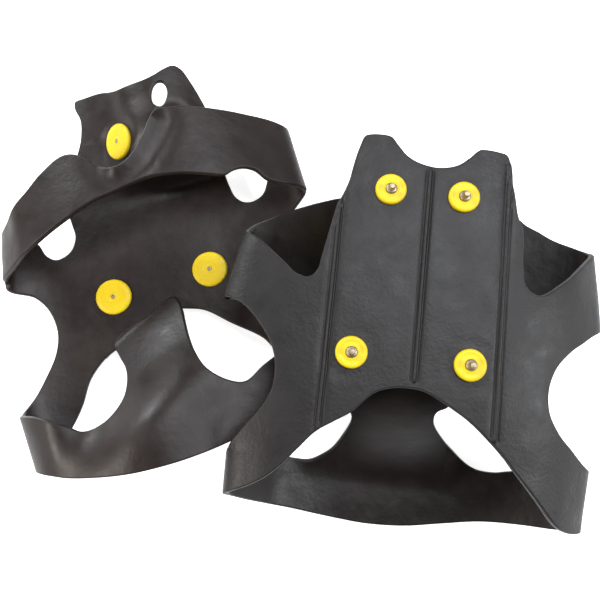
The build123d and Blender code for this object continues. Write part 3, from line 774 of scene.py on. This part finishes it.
def yellow():
    m, nt, p, obj = start("washer_plastic")
    big = noise(nt, obj, 60.0, 3.0)
    mid = noise(nt, obj, 420.0, 4.0, 0.6)
    fine = noise(nt, obj, 2600.0, 2.0)
    col = mix(nt, ramp(nt, big, [(0.3, 0.0), (0.7, 1.0)]), (0.80, 0.56, 0.003), (0.86, 0.64, 0.006))
    col = mix(nt, ramp(nt, mid, [(0.60, 0.0), (0.8, 0.22)]), col, (0.55, 0.34, 0.02))
    nt.links.new(col, p.inputs["Base Color"])
    nt.links.new(ramp(nt, mid, [(0.3, 0.38), (0.75, 0.55)]), p.inputs["Roughness"])
    nt.links.new(bump(nt, add(nt, mid, add(nt, fine, 0.4, "MULTIPLY")), 0.12, 0.0004), p.inputs["Normal"])
    p.inputs["Subsurface Weight"].default_value = 0.08
    p.inputs["Subsurface Scale"].default_value = 0.002
    p.inputs["Specular IOR Level"].default_value = 0.45
    return m


def steel():
    m, nt, p, obj = start("spike_steel_finish")
    mid = noise(nt, obj, 700.0, 4.0, 0.65)
    big = noise(nt, obj, 160.0, 3.0)
    fine = noise(nt, obj, 3800.0, 2.0)
    # darkened warm steel: its brown tint is partly the pins' own tone and partly painted reflection of the yellow discs
    col = mix(nt, ramp(nt, big, [(0.35, 0.0), (0.7, 1.0)]), (0.36, 0.29, 0.20), (0.48, 0.41, 0.31))
    col = mix(nt, ramp(nt, mid, [(0.58, 0.0), (0.75, 0.5)]), col, (0.26, 0.19, 0.12))
    nt.links.new(col, p.inputs["Base Color"])
    nt.links.new(ramp(nt, mid, [(0.3, 0.42), (0.75, 0.58)]), p.inputs["Roughness"])
    nt.links.new(bump(nt, add(nt, fine, mid), 0.12, 0.0003), p.inputs["Normal"])
    p.inputs["Metallic"].default_value = 1.0
    return m


RUBBER_L = rubber("rubber_foot_side", (0.0125, 0.0070, 0.0058), 0.0, 0.10, 0.33)
RUBBER_R = rubber("rubber_ground_side", (0.0105, 0.0088, 0.0088), 3.7, 0.26, 0.38)
# darker copy of the foot-side rubber for the right cleat's bands, which lie under its pad: the extra darkness is
# painted shade
SHADED_BAND_RUBBER = rubber("rubber_band", (0.0075, 0.0048, 0.0042), 7.1, 0.08, 0.30)
YELLOW = yellow()
STEEL = steel()


# ------------------------------------------------------------------ rubber pieces
def dress(obj, mat):
    obj.data.materials.clear()
    obj.data.materials.append(mat)


def local_point(cleat, x, y, z):
    return tuple(to_row(cleat, np.array([[x, y, z]], float))[0])


pieces = {}
for cleat, mat in ((L, RUBBER_L), (R, RUBBER_R)):
    n = cleat.name
    holes = [(24.0, 79.0, 5.6, 3.3, math.radians(68))] if n == "left" else []
    web = build_piece(f"{n}_sole_moulding", cleat, "sole", cleat.sole_plan, y_to=cleat.split)
    tab = build_piece(f"{n}_tab_moulding", cleat, "sole", cleat.sole_plan, y_from=cleat.split, holes=holes)
    rear = build_piece(f"{n}_instep_band", cleat, "rear", cleat.rear_plan)
    toe = build_piece(f"{n}_toe_band", cleat, "toe", cleat.toe_plan)
    for o in (web, tab, rear, toe):
        # the right cleat's bands take the darker rubber, painted shade for their place under the pad
        dress(o, SHADED_BAND_RUBBER if n == "right" and o in (rear, toe) else mat)
    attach(web, f"{n}_sole")
    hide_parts(f"{n}_sole_web")
    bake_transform(rear)
    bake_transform(toe)
    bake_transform(tab)
    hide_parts(f"{n}_rear_strap")
    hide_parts(f"{n}_toe_strap")
    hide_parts(f"{n}_pull_tab")
    pieces[n] = (web, tab, rear, toe)


# ------------------------------------------------------------------ studs
def lathe(name, profile, seg=64, wobble=0.0):
    """A turned piece about its own z axis from an (r, z) outline; r 0 closes to a point."""
    verts, faces = [], []
    rows = []
    for k, (r, z) in enumerate(profile):
        if r < 1e-6:
            rows.append([len(verts)])
            verts.append((0.0, 0.0, z * 0.001))
        else:
            rows.append(list(range(len(verts), len(verts) + seg)))
            for i in range(seg):
                a = 2 * math.pi * i / seg
                verts.append((r * math.cos(a) * 0.001, r * math.sin(a) * 0.001, z * 0.001))
    closed = profile[0][0] > 1e-6
    pairs = list(zip(rows[:-1], rows[1:])) + ([(rows[-1], rows[0])] if closed else [])
    for a, b in pairs:
        for i in range(seg):
            j = (i + 1) % seg
            if len(a) == 1:
                faces.append((a[0], b[j], b[i]))
            elif len(b) == 1:
                faces.append((a[i], a[j], b[0]))
            else:
                faces.append((a[i], a[j], b[j], b[i]))
    me = bpy.data.meshes.new(name)
    me.from_pydata(verts, [], faces)
    me.update()
    me.shade_smooth()
    obj = bpy.data.objects.new(name, me)
    bpy.context.scene.collection.objects.link(obj)
    return obj


def crisp(obj, angle=32.0):
    """Marks the sharp turns of a lathed piece."""
    me = obj.data
    import bmesh
    bm = bmesh.new()
    bm.from_mesh(me)
    bmesh.ops.recalc_face_normals(bm, faces=bm.faces)
    for e in bm.edges:
        if len(e.link_faces) == 2 and e.calc_face_angle(0) > math.radians(angle):
            e.smooth = False
    bm.to_mesh(me)
    bm.free()
    me.shade_smooth()


def ring_nubs(name, count, radius, size, z, height):
    """Small raised pips round a flange, as one mesh."""
    verts, faces = [], []
    for k in range(count):
        a0 = 2 * math.pi * k / count
        cx, cy = radius * math.cos(a0), radius * math.sin(a0)
        base = len(verts)
        levels = [(1.0, -0.25), (0.96, 0.35 * height), (0.72, 0.8 * height), (0.35, height)]
        for f, h in levels:
            for i in range(12):
                a = 2 * math.pi * i / 12
                verts.append(((cx + size * f * math.cos(a)) * 0.001, (cy + size * f * math.sin(a)) * 0.001, (z + h) * 0.001))
        for r in range(len(levels) - 1):
            for i in range(12):
                j = (i + 1) % 12
                faces.append((base + r * 12 + i, base + r * 12 + j, base + (r + 1) * 12 + j, base + (r + 1) * 12 + i))
        faces.append(tuple(base + (len(levels) - 1) * 12 + i for i in range(12)))
        faces.append(tuple(base + i for i in reversed(range(12))))
    me = bpy.data.meshes.new(name)
    me.from_pydata(verts, [], faces)
    me.update()
    me.shade_smooth()
    obj = bpy.data.objects.new(name, me)
    bpy.context.scene.collection.objects.link(obj)
    return obj


ZO, ZI = -SHEET_T / 2, SHEET_T / 2
W0, F1 = ZO - 1.8, ZI + 1.7
WASHER = [(2.27, W0 + 0.12), (2.45, W0 - 0.02), (2.85, W0 - 0.05), (3.15, W0 + 0.10), (3.5, W0 + 0.16), (4.4, W0 + 0.14),
          (4.75, W0 + 0.02), (5.15, W0 - 0.0), (5.55, W0 + 0.06), (5.9, W0 + 0.22), (6.14, W0 + 0.5), (6.26, W0 + 0.85),
          (6.28, W0 + 1.3), (6.22, ZO - 0.02), (2.7, ZO - 0.02), (2.7, ZO - 0.55), (2.27, ZO - 0.55)]
FLANGE = [(1.02, F1 - 0.10), (1.2, F1 - 0.02), (1.55, F1 + 0.0), (1.95, F1 - 0.03), (2.2, F1 - 0.16), (2.5, F1 - 0.18),
          (2.9, F1 - 0.06), (3.6, F1 - 0.05), (4.8, F1 - 0.02), (6.0, F1 - 0.02), (6.5, F1 - 0.10), (6.9, F1 - 0.22), (7.25, F1 - 0.26), (7.6, F1 - 0.36),
          (7.95, F1 - 0.66), (8.13, ZI + 0.72), (8.18, ZI + 0.3), (8.1, ZI + 0.02), (3.48, ZI + 0.02),
          (3.48, ZO), (2.7, ZO), (2.7, ZO - 0.55), (1.02, ZO - 0.55)]
SPIKE = [(0.0, W0 - 3.44), (0.55, W0 - 3.44), (0.92, W0 - 3.40), (1.12, W0 - 3.22), (1.19, W0 - 2.95), (1.22, W0 - 1.35),
         (1.32, W0 - 1.15), (1.75, W0 - 0.98), (2.02, W0 - 0.86), (2.2, W0 - 0.6), (2.24, W0 - 0.3), (2.24, ZO - 0.57),
         (0.99, ZO - 0.57), (0.99, F1 - 0.2), (0.86, F1 - 0.06), (0.5, F1 - 0.01), (0.0, F1 + 0.02)]

for cleat in (L, R):
    for key, (x, y, z, roll) in STUDS[cleat.name].items():
        where = Matrix.Translation(Vector(local_point(cleat, x, y, z))) @ Matrix.Rotation(math.radians(cleat.turn), 4, "Z") \
            @ Matrix.Rotation(math.radians(roll), 4, "Y")
        body = f"{cleat.name}_sole" if key.startswith("front") else f"{cleat.name}_tab"
        spin = Matrix.Rotation(0.4 * len(key) + x, 4, "Z")
        for part, profile, mat, slot in (("outer_disc", WASHER, YELLOW, "disc_plastic"), ("inner_disc", FLANGE, YELLOW, "disc_plastic"),
                                         ("spike", SPIKE, STEEL, "spike_steel")):
            o = lathe(f"{cleat.name}_{key}_{part}_turned", profile)
            crisp(o)
            o.matrix_world = where @ spin
            dress(o, mat)
            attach(o, body)
            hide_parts(f"{cleat.name}_{key}_{part}")
        nubs = ring_nubs(f"{cleat.name}_{key}_flange_pips", 8, 7.1, 0.42, F1 - 0.26, 0.16)
        nubs.matrix_world = where @ spin
        dress(nubs, YELLOW)
        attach(nubs, body)

# ------------------------------------------------------------------ stage
me = bpy.data.meshes.new("floor")
me.from_pydata([(-3, -3, -0.0003), (3, -3, -0.0003), (3, 3, -0.0003), (-3, 3, -0.0003)], [], [(0, 1, 2, 3)])
floor = bpy.data.objects.new("floor", me)
bpy.context.scene.collection.objects.link(floor)
fm = bpy.data.materials.new("floor_paper")
fm.use_nodes = True
nt = fm.node_tree
p = nt.nodes["Principled BSDF"]
tc = nt.nodes.new("ShaderNodeTexCoord")
v = noise(nt, tc.outputs["Object"], 3.0, 3.0)
nt.links.new(mix(nt, v, (0.93, 0.93, 0.93), (0.96, 0.96, 0.96)), p.inputs["Base Color"])
p.inputs["Roughness"].default_value = 0.9
p.inputs["Specular IOR Level"].default_value = 0.1
p.inputs["Emission Color"].default_value = (1, 1, 1, 1)
p.inputs["Emission Strength"].default_value = 0.86
floor.data.materials.append(fm)

world = bpy.data.worlds.new("studio")
bpy.context.scene.world = world
world.use_nodes = True
world.node_tree.nodes["Background"].inputs[0].default_value = (1.0, 1.0, 1.0, 1)
world.node_tree.nodes["Background"].inputs[1].default_value = 0.07


def area(name, loc, target, size, watts, colour=(1, 1, 1)):
    d = bpy.data.lights.new(name, "AREA")
    d.shape = "RECTANGLE"
    d.size, d.size_y = size
    d.energy = watts
    d.color = colour
    o = bpy.data.objects.new(name, d)
    bpy.context.scene.collection.objects.link(o)
    o.location = loc
    o.rotation_euler = (Vector(target) - Vector(loc)).to_track_quat("-Z", "Y").to_euler()
    return o


area("top", (0.24, 0.24, 0.80), (0.03, 0.0, 0), (0.62, 0.42), 5.6, (0.92, 0.95, 1.0))
area("back", (-0.62, 0.52, 0.44), (-0.05, 0.0, 0), (0.20, 0.16), 4.6, (0.93, 0.97, 1.0))
area("left", (-0.60, -0.22, 0.50), (-0.05, 0.0, 0), (0.20, 0.20), 3.6, (1.0, 0.94, 0.88))
area("right", (0.85, -0.12, 0.60), (0.10, -0.05, 0), (0.22, 0.35), 5.0, (0.95, 0.98, 1.0))

cam = bpy.data.cameras.new("camera")
cam.lens = 33.6
cam.sensor_width = 36.0
cam.clip_start = 0.01
camo = bpy.data.objects.new("camera", cam)
bpy.context.scene.collection.objects.link(camo)
camo.location = (0.00713, -0.04042, 0.2631)
camo.rotation_euler = (0.1419, 0, 0)
bpy.context.scene.camera = camo
bpy.context.scene.view_settings.view_transform = "Standard"
bpy.context.scene.view_settings.look = "None"
bpy.context.scene.view_settings.exposure = 0.0
